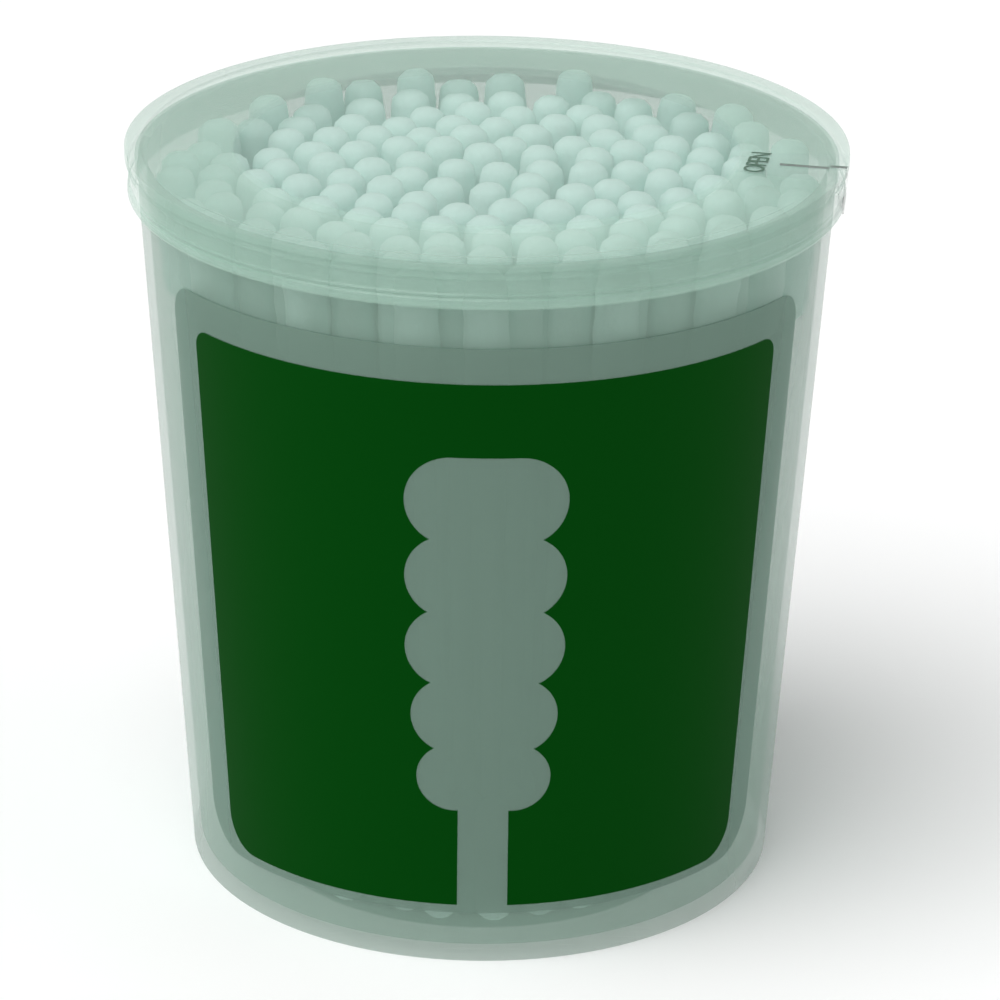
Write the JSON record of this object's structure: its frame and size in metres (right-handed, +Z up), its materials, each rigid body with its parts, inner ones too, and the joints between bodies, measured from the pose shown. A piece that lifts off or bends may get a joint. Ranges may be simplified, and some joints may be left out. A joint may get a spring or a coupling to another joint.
{
  "type": "cotton swab tub",
  "caption": "Round tapered translucent tub with a lift-off snap lid, a wrapped front label and a bundle of cotton swabs standing on end.",
  "frame": {"origin": "centre of the tub's standing face", "axes": "+Z up along the tub's axis; the label faces -Y"},
  "size_m": [0.077, 0.077, 0.0813],
  "materials": {
    "tub_plastic": "translucent moulded plastic",
    "lid_plastic": "translucent moulded plastic",
    "label_film": "printed film",
    "clear_film": "clear film",
    "stick_paper": "rolled paper",
    "cotton": "soft cotton"
  },
  "bodies": {
    "tub": {"tub": "tub_plastic", "front_label": "label_film", "swab_sticks_ring_1": "stick_paper", "upper_tips_ring_1": "cotton", "lower_tips_ring_1": "cotton", "swab_sticks_ring_2": "stick_paper", "upper_tips_ring_2": "cotton", "lower_tips_ring_2": "cotton", "swab_sticks_ring_3": "stick_paper", "upper_tips_ring_3": "cotton", "lower_tips_ring_3": "cotton", "swab_sticks_ring_4": "stick_paper", "upper_tips_ring_4": "cotton", "lower_tips_ring_4": "cotton", "swab_sticks_ring_5": "stick_paper", "upper_tips_ring_5": "cotton", "lower_tips_ring_5": "cotton", "swab_sticks_ring_6": "stick_paper", "upper_tips_ring_6": "cotton", "lower_tips_ring_6": "cotton"},
    "lid": {"lid": "lid_plastic", "lid_film": "clear_film"}
  },
  "joints": [
    {"name": "lid_lift", "type": "slide", "parent": "tub", "child": "lid", "axis": [0, 0, 1], "range_m": [0, 0.03]}
  ]
}
